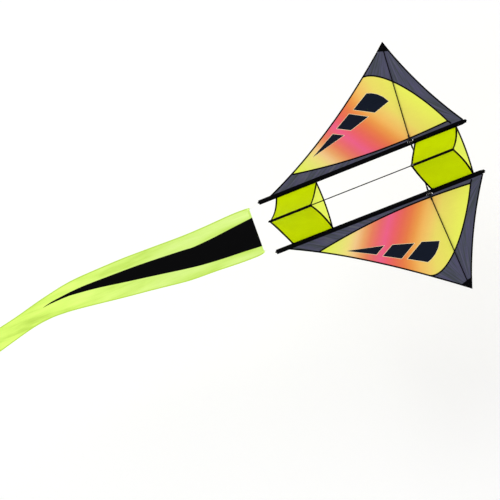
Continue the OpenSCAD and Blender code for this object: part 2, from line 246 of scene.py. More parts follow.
class Shade:
    """A Principled material and short ways to add nodes to it."""

    def __init__(self, name, roughness, **constants):
        self.material = bpy.data.materials.new(name)
        self.material.use_nodes = True
        self.tree = self.material.node_tree
        self.shader = self.tree.nodes["Principled BSDF"]
        self.shader.inputs["Roughness"].default_value = roughness
        for key, value in constants.items():
            self.shader.inputs[key.replace("_", " ")].default_value = value

    def node(self, kind, **values):
        made = self.tree.nodes.new(kind)
        for key, value in values.items():
            setattr(made, key, value)
        return made

    def link(self, source, target):
        """Joins an output to an input, or sets a fixed value on the input."""
        if isinstance(source, (int, float, tuple)):
            target.default_value = source
        else:
            self.tree.links.new(source, target)

    def math(self, operation, a, b=0.0):
        made = self.node("ShaderNodeMath", operation=operation)
        self.link(a, made.inputs[0])
        self.link(b, made.inputs[1])
        return made.outputs[0]

    def add(self, a, b):
        return self.math("ADD", a, b)

    def less(self, a, b):
        return self.math("SUBTRACT", a, b)

    def times(self, a, b):
        return self.math("MULTIPLY", a, b)

    def vector(self, x, y, z=0.0):
        made = self.node("ShaderNodeCombineXYZ")
        for value, target in zip((x, y, z), made.inputs):
            self.link(value, target)
        return made.outputs[0]

    def even(self, colour):
        """One colour as an output, to be shaded over the surface."""
        made = self.node("ShaderNodeRGB")
        made.outputs[0].default_value = (*colour, 1.0)
        return made.outputs[0]

    def place(self):
        """The place in the object's own space."""
        return self.node("ShaderNodeTexCoord").outputs["Object"]

    def lay(self):
        """The place on the flat cloth, in metres: along and across."""
        at = self.node("ShaderNodeAttribute", attribute_name="lay")
        split = self.node("ShaderNodeSeparateXYZ")
        self.link(at.outputs["Vector"], split.inputs[0])
        return at.outputs["Vector"], split.outputs[0], split.outputs[1]

    def stretch(self, vector, scale):
        made = self.node("ShaderNodeMapping")
        self.link(vector, made.inputs["Vector"])
        made.inputs["Scale"].default_value = scale
        return made.outputs[0]

    def noise(self, vector, scale, detail=2.0, roughness=0.5):
        made = self.node("ShaderNodeTexNoise")
        self.link(vector, made.inputs["Vector"])
        made.inputs["Scale"].default_value = scale
        made.inputs["Detail"].default_value = detail
        made.inputs["Roughness"].default_value = roughness
        return made.outputs["Fac"]

    def line(self, value, pitch, width):
        """1 on thin lines a pitch apart, 0 between them."""
        return self.rise(self.math("PINGPONG", value, pitch / 2), 0.0, width, 1.0, 0.0)

    def streaks(self, along, across, seed):
        return self.noise(self.vector(along, across, seed), 1.0, 3.0, 0.6)

    def fan(self, along, across, corner, folds, seed):
        """Noise in streaks that run out from a corner of the cloth."""
        dx = self.less(along, corner[0])
        dy = self.less(across, corner[1])
        square = self.add(self.times(dx, dx), self.times(dy, dy))
        turn = self.times(self.math("ARCTAN2", dy, dx), folds)
        return self.streaks(turn, self.times(self.math("SQRT", square), 5.0), seed)

    def slant(self, along, across, turn, seed):
        """Noise in parallel streaks turned from the nose-to-tail line."""
        c, d = math.cos(turn), math.sin(turn)
        run = self.add(self.times(along, c), self.times(across, d))
        off = self.less(self.times(across, c), self.times(along, d))
        return self.streaks(self.times(run, 6.0), self.times(off, 90.0), seed)

    def rise(self, value, low, high, start=0.0, end=1.0):
        """start at low, end at high, and smooth between."""
        made = self.node("ShaderNodeMapRange", interpolation_type="SMOOTHSTEP")
        self.link(value, made.inputs["Value"])
        for key, at in (("From Min", low), ("From Max", high), ("To Min", start), ("To Max", end)):
            made.inputs[key].default_value = at
        return made.outputs["Result"]

    def between(self, share, a, b):
        """a where share is 0 and b where it is 1, for single values."""
        return self.add(a, self.times(share, self.less(b, a)))

    def ramp(self, share, stops):
        """A colour from a list of (place, screen colour)."""
        made = self.node("ShaderNodeValToRGB")
        self.link(share, made.inputs[0])
        elements = made.color_ramp.elements
        while len(elements) < len(stops):
            elements.new(0.5)
        for element, (at, colour) in zip(elements, stops):
            element.position = at
            element.color = (*linear(*colour), 1.0)
        return made.outputs[0]

    def see_through(self, share):
        """Lets a share of the light through, as thin cloth does."""
        thin = self.node("ShaderNodeBsdfTranslucent")
        mix = self.node("ShaderNodeMixShader")
        mix.inputs[0].default_value = share
        self.link(self.shader.inputs["Base Color"].links[0].from_socket, thin.inputs["Color"])
        self.link(self.shader.outputs[0], mix.inputs[1])
        self.link(thin.outputs[0], mix.inputs[2])
        self.link(mix.outputs[0], self.tree.nodes["Material Output"].inputs["Surface"])

    def span(self, value, low, high):
        """value from 0..1 to low..high."""
        return self.add(self.times(value, high - low), low)

    def tint(self, colour, amount):
        """colour made lighter or darker by amount, which is 1 where it stays."""
        made = self.node("ShaderNodeVectorMath", operation="SCALE")
        self.link(colour, made.inputs[0])
        self.link(amount, made.inputs["Scale"])
        return made.outputs[0]

    def bump(self, height, distance, strength=1.0):
        made = self.node("ShaderNodeBump")
        made.inputs["Distance"].default_value = distance
        made.inputs["Strength"].default_value = strength
        self.link(height, made.inputs["Height"])
        self.link(made.outputs[0], self.shader.inputs["Normal"])

    def colour(self, value):
        self.link(value, self.shader.inputs["Base Color"])
        return self.material


def linear(r, g, b):
    """A screen colour from 0 to 255 as the shader wants it."""
    def one(c):
        c /= 255
        return c / 12.92 if c <= 0.04045 else ((c + 0.055) / 1.055) ** 2.4
    return (one(r), one(g), one(b))


RIP_PITCH = 5.0 * MM
WEAVE_PITCH = 0.7 * MM
THREAD_W = 0.35 * MM


def ripstop(name, colour, roughness=0.55, rip=0.10, painted_crease_shade=0.05, gloss=0.08, streaks=(3, 30, 1),
            thin=0.0):
    """Thin woven nylon with a square grid of thicker threads. colour is a colour or makes one,
    and thin is the share of light that goes through each face of the cloth. The soft noise that
    bumps the creases also lightens and darkens the colour along them: painted crease shade."""
    s = Shade(name, roughness, Specular_IOR_Level=gloss)
    vector, along, across = s.lay()
    grid = s.math("MAXIMUM", *(s.line(way, RIP_PITCH, THREAD_W) for way in (along, across)))
    weave = s.add(*(s.line(way, WEAVE_PITCH, THREAD_W) for way in (along, across)))
    soft = s.noise(s.stretch(vector, streaks), 6.0, 3.0)
    cloud = s.noise(vector, 14.0, 2.0)
    # painted crease shade: the colour is lightened and darkened with the crease noise, on top of
    # its bump
    shade = s.span(soft, 1 - painted_crease_shade, 1 + painted_crease_shade)
    shade = s.times(shade, s.span(cloud, 0.97, 1.03))
    shade = s.times(shade, s.span(grid, 1.0, 1.0 - rip))
    base = colour(s, along, across) if callable(colour) else s.even(colour)
    height = s.add(grid, s.times(weave, 0.25))
    height = s.add(height, s.times(soft, 2.0))
    s.bump(height, 0.12 * MM, 0.7)
    made = s.colour(s.tint(base, shade))
    if thin:
        s.see_through(thin)
    return made


def tape(name, colour, pitch=1.1):
    """Woven tape: fine cross ribs and a slight wear of the colour."""
    s = Shade(name, 0.7, Specular_IOR_Level=0.03)
    vector, along, across = s.lay()
    ribs = s.line(along, pitch * MM, 0.45 * MM)
    fine = s.line(across, 0.6 * MM, 0.25 * MM)
    wear = s.noise(vector, 60.0, 4.0)
    height = s.add(ribs, s.times(fine, 0.5))
    s.bump(s.add(height, wear), 0.15 * MM, 0.8)
    return s.colour(s.tint(s.even(colour), s.span(wear, 0.7, 1.4)))


def rod_material():
    """Pultruded rod: smooth, with fine lines along it."""
    s = Shade("rod_black", 0.45, Specular_IOR_Level=0.06)
    lines = s.noise(s.stretch(s.place(), (8, 600, 600)), 4.0, 2.0)
    s.bump(lines, 0.05 * MM, 0.4)
    return s.colour(s.tint(s.even(linear(4, 4, 6)), s.span(lines, 0.7, 1.4)))


def moulded(name, colour, roughness, grain=900.0):
    """Moulded plastic or vinyl with a fine grain and slight scuffs."""
    s = Shade(name, roughness, Specular_IOR_Level=0.12)
    where = s.place()
    fine = s.noise(where, grain, 3.0)
    scuff = s.noise(where, 120.0, 5.0, 0.7)
    s.bump(s.add(fine, s.times(scuff, 0.6)), 0.06 * MM, 0.6)
    return s.colour(s.tint(s.even(colour), s.span(scuff, 0.7, 1.5)))


def metal(name, colour):
    """Bright rolled metal with a fine grain."""
    s = Shade(name, 0.28, Metallic=1.0)
    fine = s.noise(s.stretch(s.place(), (1, 4, 1)), 700.0, 4.0)
    s.bump(fine, 0.03 * MM, 0.5)
    return s.colour(s.tint(s.even(colour), s.span(fine, 0.85, 1.1)))


# Colours of the print, along the line that runs back from the nose, in metres from the spar
# and shifted with the distance from the sleeve.
PRINT_BLEND = [
    (-0.540, (222, 234, 83)), (-0.455, (226, 223, 114)), (-0.415, (233, 215, 122)),
    (-0.375, (236, 194, 133)), (-0.335, (229, 160, 100)), (-0.295, (225, 124, 89)),
    (-0.255, (226, 103, 104)), (-0.212, (229, 93, 131)), (-0.172, (228, 93, 102)),
    (-0.134, (225, 103, 81)), (-0.094, (225, 120, 68)), (-0.054, (229, 149, 71)),
    (-0.014, (235, 179, 91)), (0.026, (233, 196, 100)), (0.066, (228, 212, 98)),
    (0.106, (226, 217, 95)), (0.186, (226, 231, 89))]
PRINT_SLANT = 0.66
PRINT_FROM_Y = 0.160
PRINT_BEND = 0.45
PRINT_BEND_Y = 0.36


def print_colour(s, along, across):
    """The blend from yellow through orange to pink and back, as a colour output."""
    slant = s.times(s.less(across, PRINT_FROM_Y), PRINT_SLANT)
    outer = s.math("MAXIMUM", s.less(across, PRINT_BEND_Y), 0.0)
    value = s.less(s.add(along, slant), s.times(outer, PRINT_BEND))
    low, high = PRINT_BLEND[0][0], PRINT_BLEND[-1][0]
    share = s.math("DIVIDE", s.less(value, low), high - low)
    return s.ramp(share, [((at - low) / (high - low), colour) for at, colour in PRINT_BLEND])


STREAK_TURN = math.radians(30)


def grey_with_painted_crease_shade(s, along, across):
    """Dark grey with violet streaks of painted crease shade, lighter and darker along tension
    creases: slanted by the sleeve, and out from the front and the tip.
    """
    # painted crease shade: lighter and darker streaks that stand for the shading of tension
    # creases
    rear = s.slant(along, across, STREAK_TURN, 3.0)
    front = s.fan(along, across, CORNER_FRONT, 18, 6.0)
    tip = s.fan(along, across, TIP, 20, 0.0)
    inner = s.between(s.rise(along, -0.35, 0.0), rear, front)
    value = s.between(s.rise(across, 0.26, 0.40), inner, tip)
    return s.ramp(value, [(0.30, (54, 58, 60)), (0.42, (65, 69, 78)), (0.51, (72, 73, 91)),
                          (0.59, (76, 74, 101)), (0.72, (92, 94, 97))])


def tail_colour_and_painted_shade(s, along, across):
    """Yellow-green that is paler near the kite, with soft lengthwise clouds of painted shade,
    darker and lighter for the cloth's slopes and folds.
    """
    # painted shade: the clouds darken and lighten the green where the cloth slopes and folds
    cloud = s.noise(s.vector(along, s.times(across, 7.0)), 2.6, 3.0, 0.55)
    near_kite = s.ramp(cloud, [(0.32, (190, 224, 92)), (0.48, (206, 237, 120)),
                               (0.68, (218, 244, 142))])
    far_off = s.ramp(cloud, [(0.32, (184, 218, 84)), (0.45, (211, 244, 106)),
                             (0.62, (226, 255, 120))])
    mix = s.node("ShaderNodeMix", data_type="RGBA")
    s.link(s.rise(along, -1.25, -2.05), mix.inputs["Factor"])
    s.link(near_kite, mix.inputs["A"])
    s.link(far_off, mix.inputs["B"])
    return mix.outputs["Result"]


MATERIALS = {
    "print": ripstop("print_ripstop", print_colour, painted_crease_shade=0.03, rip=0.06),
    "grey": ripstop("grey_ripstop", grey_with_painted_crease_shade, roughness=0.5, rip=0.12),
    "lime": ripstop("lime_ripstop", linear(232, 243, 0), gloss=0.04, thin=0.65),
    "pale": ripstop("pale_ripstop", linear(250, 255, 160), painted_crease_shade=0.04, thin=0.8),
    "tail": ripstop("tail_ripstop", tail_colour_and_painted_shade, streaks=(1.2, 26, 1)),
    "tail_hem": ripstop("tail_hem_ripstop", linear(184, 220, 74)),
    "wedge": ripstop("black_ripstop", linear(4, 4, 5), roughness=0.5, painted_crease_shade=0.3, rip=0.3,
                     gloss=0.03),
    "patch": ripstop("patch_print", linear(13, 20, 34), roughness=0.5, painted_crease_shade=0.3, gloss=0.05),
    "patch_edge": ripstop("patch_outline", linear(250, 236, 190), painted_crease_shade=0.06),
    "sleeve": tape("sleeve_cloth", linear(3, 3, 5), 0.9),
    "tape": tape("binding_tape", linear(4, 4, 5)),
    "pocket": tape("tip_cloth", linear(3, 3, 4), 0.8),
    "webbing": tape("webbing", linear(15, 15, 17), 1.4),
    "tail_webbing": tape("tail_webbing", linear(206, 236, 122), 1.4),
    "thread": tape("black_thread", linear(13, 13, 15), 0.8),
    "lime_thread": tape("lime_thread", linear(190, 226, 70), 0.8),
    "line": tape("leader_line", linear(238, 238, 234), 0.9),
    "rod": rod_material(),
    "fitting": moulded("fitting_plastic", linear(13, 13, 15), 0.5),
    "vinyl": moulded("vinyl_cap", linear(11, 11, 12), 0.45, 600.0),
    "eyelet": metal("eyelet_metal", linear(205, 205, 208)),
}

# ---- cords come first ----------------------------------------------------------


def stand_for(piece, node, body=None):
    """Hides the CAD node that a piece replaces, and hangs the piece on the body it rides on, if
    one is given.
    """
    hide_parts(node)
    if body:
        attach(piece, body)


def leaders():
    for side in SIDES:
        route = leader_route(side)
        made = line_object("leader_line_" + side, route, LEADER_R, MATERIALS["line"])
        stand_for(made, "leader_" + side, "tail_1")


leaders()

# ---- mesh making ---------------------------------------------------------------

UP = (0, 0, 1)


def mirrored(points, s):
    """Points given on the left, on the side s."""
    out = np.array(points, float)
    out[..., 1] *= s
    return out


def flip(faces, s):
    return [tuple(reversed(f)) for f in faces] if s < 0 else faces


def swept(x, y, z):
    """A grid of points from arrays that spread over its rows and columns."""
    return np.stack(np.broadcast_arrays(x, y, z), axis=-1)


def spread(rows, columns):
    """A grid of pairs: one value for each row and one for each column."""
    return np.stack(np.meshgrid(rows, columns, indexing="ij"), axis=-1)


def raised(flat, height, rise=0.0):
    """Points on the ground lifted to the cloth, and a rise above it."""
    return np.column_stack([flat, height(flat[:, 0], flat[:, 1]) + rise])


def in_mm(profile):
    """A cross-section given in mm."""
    return [(a * MM, b * MM) for a, b in profile]


class Cloth:
    """Collects surfaces, each with its place on the flat cloth, into one mesh."""

    def __init__(self):
        self.points, self.lays, self.faces, self.slots = [], [], [], []
        self.count = 0

    def add(self, points, faces, lays, slot=0):
        points = np.asarray(points, float).reshape(-1, 3)
        lays = np.asarray(lays, float).reshape(-1, 2)
        self.points.append(points)
        self.lays.append(np.hstack([lays, np.zeros((len(lays), 1))]))
        self.faces += [tuple(int(i) + self.count for i in f) for f in faces]
        self.slots += [slot] * len(faces)
        self.count += len(points)

    def add_thick(self, points, faces, lays, thick, slot=0, up=None):
        """A surface and its other side, a thickness below it, closed round the rim."""
        points = np.asarray(points, float).reshape(-1, 3)
        lays = np.asarray(lays, float).reshape(-1, 2)
        normal = np.tile(np.asarray(up, float), (len(points), 1)) if up is not None \
            else vertex_normals(points, faces)
        n = len(points)
        rim = {}
        for f in faces:
            for a, b in zip(f, (*f[1:], f[0])):
                if not rim.pop((b, a), False):
                    rim[(a, b)] = True
        under = [tuple(i + n for i in reversed(f)) for f in faces]
        wall = [(b, a, a + n, b + n) for a, b in rim]
        self.add(np.vstack([points, points - thick * normal]), [*faces, *under, *wall],
                 np.vstack([lays, lays]), slot)

    def add_sheet(self, solid, faces, lays, thick, s, slot=0):
        """A sheet that is given on the left wing and lies face up on the side s."""
        faces = flip(facing_up(solid, faces), s)
        self.add_thick(mirrored(solid, s), faces, lays, thick, slot, up=UP)

    def add_grid(self, grid, lay, thick, slot=0, loop=False, up=None):
        """A grid of points (rows, columns, 3) as a thick sheet; loop closes the columns."""
        rows, columns = grid.shape[:2]
        last = columns if loop else columns - 1
        faces = [(r * columns + c, (r + 1) * columns + c,
                  (r + 1) * columns + (c + 1) % columns, r * columns + (c + 1) % columns)
                 for r in range(rows - 1) for c in range(last)]
        self.add_thick(grid, faces, lay, thick, slot, up)

    def add_stitches(self, line, up, slot=1, pitch=4.0 * MM, length=2.9 * MM, size=0.28 * MM):
        """Thread stitches along a line, each a small closed spindle that lies on the cloth."""
        line = np.asarray(line, float)
        run = run_of(line)
        count = int(run[-1] / pitch)
        ups = np.tile(np.asarray(up, float), (len(line), 1)) if np.ndim(up) == 1 else up
        for i in range(count):
            at = (i + 0.5) * run[-1] / count
            a, b, u = (np.array([np.interp(q, run, c[:, k]) for k in range(3)])
                       for q, c in ((at - length / 2, line), (at + length / 2, line), (at, ups)))
            way, u = unit(b - a), unit(u)
            side = np.cross(u, way)
            pts = [a - u * size * 0.6]
            for share, fat in ((0.2, 0.6), (0.5, 1.0), (0.8, 0.6)):
                centre = a + (b - a) * share
                pts += [centre + fat * size * v for v in (side, u * 1.1, -side, -u * 0.8)]
            pts.append(b - u * size * 0.6)
            faces = [(0, 1 + (k + 1) % 4, 1 + k) for k in range(4)]
            for r in range(2):
                o = 1 + 4 * r
                faces += [(o + k, o + (k + 1) % 4, o + 4 + (k + 1) % 4, o + 4 + k)
                          for k in range(4)]
            faces += [(13, 9 + k, 9 + (k + 1) % 4) for k in range(4)]
            self.add(pts, faces, [(p[0], p[1]) for p in pts], slot)

    def make(self, name, materials, crease=50):
        mesh = bpy.data.meshes.new(name)
        points = np.vstack(self.points)
        points[:, 0] += SPAR_X
        mesh.from_pydata(points.tolist(), [], self.faces)
        for key in materials:
            mesh.materials.append(MATERIALS[key])
        mesh.polygons.foreach_set("material_index", self.slots)
        mesh.polygons.foreach_set("use_smooth", [True] * len(self.faces))
        lay = mesh.attributes.new("lay", "FLOAT_VECTOR", "POINT")
        lay.data.foreach_set("vector", np.vstack(self.lays).astype(np.float32).ravel())
        mesh.update()
        mesh.set_sharp_from_angle(angle=math.radians(crease))
        return show(name, mesh)


def vertex_normals(points, faces):
    """Normals of the points, each the mean of its faces' by their size."""
    normal = np.zeros_like(points)
    for f in faces:
        a, b, c = points[f[0]], points[f[1]], points[f[2]]
        n = np.cross(b - a, c - a)
        for i in f:
            normal[i] += n
    size = np.linalg.norm(normal, axis=1, keepdims=True)
    return normal / np.maximum(size, 1e-12)


def inside(loop, points):
    """Which points lie in a closed outline."""
    loop, points = np.asarray(loop), np.asarray(points)
    x, y = points[:, 0], points[:, 1]
    hit = np.zeros(len(points), bool)
    for a, b in zip(loop, np.roll(loop, -1, axis=0)):
        if a[1] == b[1]:
            continue
        cross = (a[1] > y) != (b[1] > y)
        at = a[0] + (y - a[1]) * (b[0] - a[0]) / (b[1] - a[1])
        hit ^= cross & (x < at)
    return hit


def near(lines, points, reach):
    """Which points lie within reach of any point of the lines."""
    stack = np.vstack(lines)
    keep = np.zeros(len(points), bool)
    for start in range(0, len(points), 500):
        part = points[start:start + 500]
        gap = np.linalg.norm(part[:, None] - stack[None], axis=2).min(axis=1)
        keep[start:start + 500] = gap < reach
    return keep


def fill(loop, cuts=(), spacing=7 * MM):
    """Triangles inside an outline, cut along the lines in cuts: (points, faces)."""
    low, high = np.min(loop, axis=0), np.max(loop, axis=0)
    xs = np.arange(low[0], high[0], spacing)
    ys = np.arange(low[1], high[1], spacing * 0.866)
    grid = np.array([(x + (j % 2) * spacing / 2, y) for j, y in enumerate(ys) for x in xs])
    grid = grid[inside(loop, grid)]
    grid = grid[~near([loop, *cuts], grid, spacing * 0.55)]
    points = [*loop, *[p for c in cuts for p in c], *grid]
    edges = [(i, (i + 1) % len(loop)) for i in range(len(loop))]
    at = len(loop)
    for c in cuts:
        edges += [(at + i, at + i + 1) for i in range(len(c) - 1)]
        at += len(c)
    out = delaunay_2d_cdt([Vector(p) for p in points], edges, [], 1, 1e-6)
    return np.array([tuple(p) for p in out[0]]), [tuple(f) for f in out[2]]


def resample(line, spacing):
    """The same line with its points about a spacing apart."""
    line = np.asarray(line, float)
    run = run_of(line)
    at = np.linspace(0, run[-1], max(2, int(round(run[-1] / spacing)) + 1))
    return np.stack([np.interp(at, run, line[:, k]) for k in range(line.shape[1])], axis=1)


def signed(points, face):
    """Signed area of a triangle seen from above."""
    a, b, c = (points[i] for i in face)
    return ((b[0] - a[0]) * (c[1] - a[1]) - (b[1] - a[1]) * (c[0] - a[0])) / 2


def facing_up(points, faces):
    """The faces of a surface, turned over if they face down."""
    return [tuple(reversed(f)) for f in faces] if signed(points, faces[0]) < 0 else faces


def used_only(faces):
    """Which points the faces use, and the faces numbered by those points alone."""
    used = sorted({i for f in faces for i in f})
    new = {old: i for i, old in enumerate(used)}
    return used, [tuple(new[i] for i in f) for f in faces]


# ---- wings ---------------------------------------------------------------------

LEADING_HOLLOW = 0.018
# pull on the trailing edge towards the spar, nearer the tip and nearer the rear corner; the cloth
# of the two wings is not set quite alike
TRAILING_PULL = {"left": (0.042, 0.051), "right": (0.024, 0.038)}
OUTER_SEAM = [(-0.139, 0.485), (-0.055, 0.540), (0.110, 0.349), (0.201, 0.155)]
INNER_SEAM = [(0.201, 0.155), (-0.060, 0.138), (-0.300, 0.140), (-0.611, 0.1957)]
INNER_SEAM_SHIFT = {"left": -1.5 * MM, "right": 4 * MM}
CORNER_SEAM = [(0.201, 0.155), (0.206, 0.149), (0.210, 0.143), (0.214, 0.136)]
HEM_W = 0.007
SAIL_Z = 1.3 * MM
SAIL_THICK = 0.30 * MM
TAPE_THICK = 0.25 * MM
PRINT_THICK = 0.06 * MM
CUT_IN = 0.8 * MM
SPAR_SLOPE = 0.031 / (HALF_SPAN - ROD_Y)
WING_HINGE_TO = SLEEVE_OUT + 0.016
HINGE_ROW = 1.8 * MM


def leading(off=0.0, count=70):
    return bow(CORNER_FRONT, TIP, LEADING_HOLLOW, count, off)


def along_trailing(t, pull):
    chord = np.subtract(CORNER_REAR, TIP)
    return np.asarray(TIP) + t * chord + pull * left_of(unit(chord))


def trailing(side, off=0.0, count=110):
    near_tip, near_rear = TRAILING_PULL[side]
    return bezier([TIP, along_trailing(1 / 3, near_tip), along_trailing(2 / 3, near_rear),
                   CORNER_REAR], count, off)


def inner_seam(side, count):
    """The seam beside the sleeve, a little further out or in towards the rear of each wing."""
    shift = np.array([[0, 0], [0, 0], [0, INNER_SEAM_SHIFT[side]], [0, INNER_SEAM_SHIFT[side]]])
    return bezier(np.array(INNER_SEAM) + shift, count)


def fan(x, y, at, folds, reach, phase):
    """Creases that run out from a corner and fade away from it."""
    dx, dy = x - at[0], y - at[1]
    angle = np.arctan2(dy, dx)
    far = np.hypot(dx, dy)
    return np.sin(angle * folds + phase) * np.exp(-far / reach) * ease(far / 0.05)


def sail_height(x, y):
    """Height of the middle of the wing cloth over the ground, x from the spar, y outward."""
    x, y = np.asarray(x, float), np.asarray(y, float)
    from_spar = np.abs(x - (y - ROD_Y) * SPAR_SLOPE)
    free = 1 - np.exp(-(from_spar / 0.045) ** 2)
    from_hinge = ease((y - SLEEVE_OUT) / 0.035)
    rear = 5.5 * MM * np.exp(-((x + 0.27 + 0.9 * (y - 0.26)) / 0.17) ** 2
                             - ((y - 0.25) / 0.085) ** 2)
    front = 3.5 * MM * np.exp(-((x - 0.10) / 0.06) ** 2 - ((y - 0.25) / 0.09) ** 2)
    outer = 2.5 * MM * np.exp(-((x + 0.06) / 0.06) ** 2 - ((y - 0.42) / 0.05) ** 2)
    folds = 0.75 * MM * fan(x, y, TIP, 34, 0.16, 0.4)
    folds += 0.9 * MM * fan(x, y, CORNER_REAR, 46, 0.20, 1.1)
    folds += 0.7 * MM * fan(x, y, CORNER_FRONT, 22, 0.10, 0.2)
    ripple = 0.35 * MM * np.sin(x * 75 + y * 22) * np.sin(y * 31 - x * 12)
    under_fitting = (0.8 * MM * np.exp(-(x / 0.014) ** 2)
                     * (1 - ease((y - SLEEVE_OUT - 0.012) / 0.012)))
    return (SAIL_Z - under_fitting
            + from_hinge * (free * (rear + front + outer) + 0.8 * free * folds + free * ripple))


def wing_blend(piece):
    """Bakes the piece's place into its mesh."""
    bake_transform(piece)


def hinge_rows(loop):
    """Close rows of points beside the sleeve, where the cloth bends when the wing folds."""
    rows = []
    for y in np.arange(SLEEVE_OUT + HINGE_ROW, WING_HINGE_TO + HINGE_ROW, HINGE_ROW):
        xs = np.arange(CORNER_REAR[0], CORNER_FRONT[0], 7 * MM)
        row = np.column_stack([xs, np.full(len(xs), y)])
        rows.append(row[inside(loop, row)])
    return rows


def sail_panels(side):
    """The printed panel and the two borders of a wing, cut from one surface along the seams."""
    s = SIDES[side]
    edge = np.vstack([leading(CUT_IN)[1:], trailing(side, CUT_IN)[1:-1]])
    root_y = SLEEVE_OUT - 0.3 * MM
    edge = edge[edge[:, 1] > root_y + 1 * MM]
    root_x = np.linspace(CORNER_REAR[0] + 2 * MM, CORNER_FRONT[0] - 1 * MM, 150)
    root = np.column_stack([root_x, np.full(150, root_y)])
    loop = np.vstack([root, edge])
    seams = [bezier(OUTER_SEAM, 60), inner_seam(side, 110), bezier(CORNER_SEAM, 4)]
    points, faces = fill(loop, [*seams, *hinge_rows(loop)])
    print_ground = np.vstack([seams[0], seams[1], [(-0.70, 0.33), (-0.30, 0.62)]])
    inner_ground = np.vstack([seams[1], [(-0.80, 0.26), (-0.80, 0.10), (0.24, 0.10)],
                              [CORNER_SEAM[3]]])
    middles = np.array([points[list(f)].mean(axis=0) for f in faces])
    in_print = inside(print_ground, middles)
    in_inner = inside(inner_ground, middles) & ~in_print
    kinds = (("print_panel", in_print, "print", "printed_ripstop"),
             ("border_inner", in_inner, "grey", "grey_ripstop"),
             ("border_outer", ~in_print & ~in_inner, "grey", "grey_ripstop"))
    for name, chosen, material, slot in kinds:
        used, part = used_only([f for f, c in zip(faces, chosen) if c])
        flat = points[used]
        solid = raised(flat, sail_height, SAIL_THICK / 2)
        cloth = Cloth()
        cloth.add_sheet(solid, part, flat, SAIL_THICK, s)
        piece = cloth.make(f"{name}_cloth_{side}", [material])
        stand_for(piece, f"{name}_{side}")
        wing_blend(piece)


def tape_strip(cloth, centre, sideways, profile, height, thick=TAPE_THICK, s=1, slot=0):
    """A tape that follows a line on the sail. profile lists (offset sideways, offset up), and
    sideways points to the left of the line's way. s mirrors the tape to the other wing."""
    grid, lays = [], []
    run = run_of(centre)
    for off, rise in profile:
        rail = centre + sideways * off
        grid.append(raised(rail, height, rise))
        lays.append(np.column_stack([run, np.full(len(run), off)]))
    grid = np.stack(grid, axis=1)
    lays = np.stack(lays, axis=1)
    way = centre[-1] - centre[0]
    across = sideways[0]
    turned = way[0] * across[1] - way[1] * across[0] < 0
    if (s > 0) != turned:
        grid, lays = grid[:, ::-1], lays[:, ::-1]
    cloth.add_grid(mirrored(grid, s), lays, thick, slot)


def stitch_line(cloth, rail, height, rise, s=1):
    """Stitches along a line on the sail, a rise above it."""
    cloth.add_stitches(mirrored(raised(rail, height, rise), s), UP)


def seam_sideways(line):
    """Directions to the left of a line, one for each point."""
    way = np.gradient(line, axis=0)
    way /= np.linalg.norm(way, axis=1, keepdims=True)
    return np.stack([-way[:, 1], way[:, 0]], axis=1)


FOLDED = [(6.0, -0.62), (3.0, -0.66), (0.6, -0.60), (0.1, -0.25), (0.1, 0.30), (0.6, 0.62),
          (1.6, 0.72), (3.0, 0.80), (4.6, 0.74), (5.6, 0.60), (6.1, 0.42)]
EDGE_STITCH_IN = 4.7 * MM
EDGE_STITCH_RISE = 0.95 * MM


def folded_profile(width=HEM_W):
    """Tape folded over an edge: offsets from the edge inward, and up from the cloth."""
    return [(a / 6.0 * width, b * MM) for a, b in FOLDED]


def wing_edges(side):
    s = SIDES[side]
    cloth = Cloth()
    for line, start, end in ((leading(), 0, 0.92), (trailing(side), 0.06, 1)):
        run = np.linspace(0, 1, len(line))
        part = line[(run >= start) & (run <= end)]
        sideways = seam_sideways(part)
        tape_strip(cloth, part, sideways, folded_profile(), sail_height, s=s)
        stitch_line(cloth, part + sideways * EDGE_STITCH_IN, sail_height, EDGE_STITCH_RISE, s)
    piece = cloth.make("wing_edge_tape_" + side, ["tape", "thread"])
    stand_for(piece, "wing_binding_" + side)
    wing_blend(piece)


# Half of the seam tape's cross-section in mm: offset from the seam, and height over the cloth.
SEAM_HALF = [(3.6, 0.34), (3.1, 0.50), (1.4, 0.60), (0, 0.64)]
SEAM_STITCH = 2.3 * MM


def wing_seams(side):
    s = SIDES[side]
    cloth = Cloth()
    limit = np.vstack([leading(4 * MM), trailing(side, 4 * MM)])
    half = in_mm(SEAM_HALF)
    profile = half + [(-a, b) for a, b in half[-2::-1]]
    long_seams = (bezier(OUTER_SEAM, 90), inner_seam(side, 150))
    for line in (*[seam[inside(limit, seam)] for seam in long_seams], bezier(CORNER_SEAM, 8)[:-1]):
        sideways = seam_sideways(line)
        tape_strip(cloth, line, sideways, profile, sail_height, 0.2 * MM, s)
        for off in (SEAM_STITCH, -SEAM_STITCH):
            stitch_line(cloth, line + sideways * off, sail_height, 0.72 * MM, s)
    piece = cloth.make("wing_seam_tape_" + side, ["tape", "thread"])
    stand_for(piece, "seam_tape_" + side)
    wing_blend(piece)


# Printed shapes on each wing: points from the spar and out from the centreline.
PATCHES = [
    [(-0.119, 0.4225), (-0.096, 0.4145), (-0.072, 0.400), (-0.050, 0.379), (-0.031, 0.349),
     (-0.113, 0.323), (-0.206, 0.374)],
    [(-0.232, 0.363), (-0.149, 0.317), (-0.250, 0.287), (-0.312, 0.320)],
    [(-0.339, 0.303), (-0.289, 0.277), (-0.470, 0.236)]]
PATCH_EDGE = 1.4 * MM
PATCH_SHIFT = {"left": -5.0 * MM, "right": 4.5 * MM}


def grown(loop, by):
    """An outline with each side moved outward."""
    loop = np.asarray(loop, float)
    if sum((b[0] - a[0]) * (b[1] + a[1]) for a, b in zip(loop, np.roll(loop, -1, axis=0))) > 0:
        loop = loop[::-1]
    out = []
    for p, q, r in zip(np.roll(loop, 1, axis=0), loop, np.roll(loop, -1, axis=0)):
        a, b = unit(q - p), unit(r - q)
        na, nb = -left_of(a), -left_of(b)
        half = unit(na + nb)
        out.append(q + half * min(by / max(0.25, float(half @ na)), 2.5 * by))
    return np.array(out)


